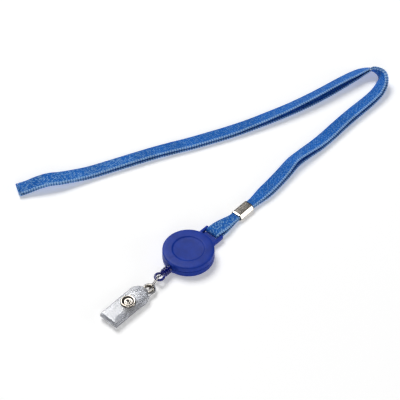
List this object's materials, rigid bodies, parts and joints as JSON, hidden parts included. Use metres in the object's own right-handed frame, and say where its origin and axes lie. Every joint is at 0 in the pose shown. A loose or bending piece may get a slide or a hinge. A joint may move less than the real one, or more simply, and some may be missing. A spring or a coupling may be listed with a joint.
{
  "type": "lanyard badge reel",
  "caption": "Round retractable badge reel with a clear snap strap on a wire link, hung from a folded flat braided neck lanyard with a metal crimp.",
  "frame": {"origin": "centre of the reel's flat back face, on the surface that the holder lies on", "axes": "+Z out of the reel's front cover, +Y from the badge strap towards the lanyard lug, +X to the right seen from the front"},
  "size_m": [0.1367, 0.2788, 0.0098],
  "materials": {
    "reel_plastic": "satin moulded ABS, deep blue",
    "spool_plastic": "natural moulded nylon",
    "spring_steel": "blued spring steel",
    "cord_nylon": "braided nylon cord",
    "plug_plastic": "glossy moulded plastic, dark blue",
    "bright_wire": "bright plated wire",
    "nickel": "nickel-plated pressed metal",
    "clear_vinyl": "clear flexible vinyl",
    "blue_braid": "flat polyester braid, royal blue"
  },
  "bodies": {
    "reel": {"back_cover": "reel_plastic", "front_cover": "reel_plastic", "mainspring": "spring_steel", "cord_lead": "cord_nylon"},
    "spool": {"spool": "spool_plastic", "spring_cover_disc": "spool_plastic", "cord_winding": "cord_nylon"},
    "cord_end": {"cord_knot": "cord_nylon"},
    "end_plug": {"end_plug": "plug_plastic"},
    "wire_link": {"wire_link": "bright_wire"},
    "badge_strap": {"badge_strap_lower_leg": "clear_vinyl", "badge_strap_fold": "clear_vinyl", "strap_eyelet": "nickel", "strap_eyelet_washer": "nickel", "snap_stud": "nickel", "snap_post": "nickel"},
    "strap_flap": {"badge_strap_flap": "clear_vinyl", "snap_cap": "nickel", "snap_socket": "nickel"},
    "lanyard": {"lanyard_strap": "blue_braid", "lanyard_crimp": "nickel"}
  },
  "joints": [
    {"name": "cord_pull", "type": "slide", "parent": "reel", "child": "cord_end", "axis": [0, -1, 0], "range_m": [0, 0.86], "stiffness_N_per_m": 0.9, "springref_m": -0.5, "deforming": ["cord_lead"]},
    {"name": "spool_spin", "type": "hinge", "parent": "reel", "child": "spool", "pos_m": [0, 0, 0.004], "axis": [0, 0, 1], "range_deg": [0, 4330], "deforming": ["mainspring"]},
    {"name": "plug_swivel", "type": "hinge", "parent": "cord_end", "child": "end_plug", "pos_m": [0, -0.0169, 0.004], "axis": [0, 1, 0], "continuous": true},
    {"name": "link_swing", "type": "hinge", "parent": "end_plug", "child": "wire_link", "pos_m": [0, -0.0285, 0.004], "axis": [1, 0, 0], "range_deg": [-70, 33]},
    {"name": "strap_swing", "type": "hinge", "parent": "wire_link", "child": "badge_strap", "pos_m": [0.0007, -0.0335, 0.00275], "axis": [1, 0, 0], "range_deg": [-70, 5]},
    {"name": "flap_open", "type": "hinge", "parent": "badge_strap", "child": "strap_flap", "pos_m": [0, -0.0687, 0.00285], "axis": [1, 0, 0], "range_deg": [0, 150], "deforming": ["badge_strap_fold"]},
    {"name": "lanyard_swing", "type": "hinge", "parent": "reel", "child": "lanyard", "pos_m": [0, 0.0233, 0.0026], "axis": [1, 0, 0], "range_deg": [-80, 80]}
  ],
  "couplings": [
    {"joint": "spool_spin", "follows": "cord_pull", "rad_per_m": 87.7}
  ]
}
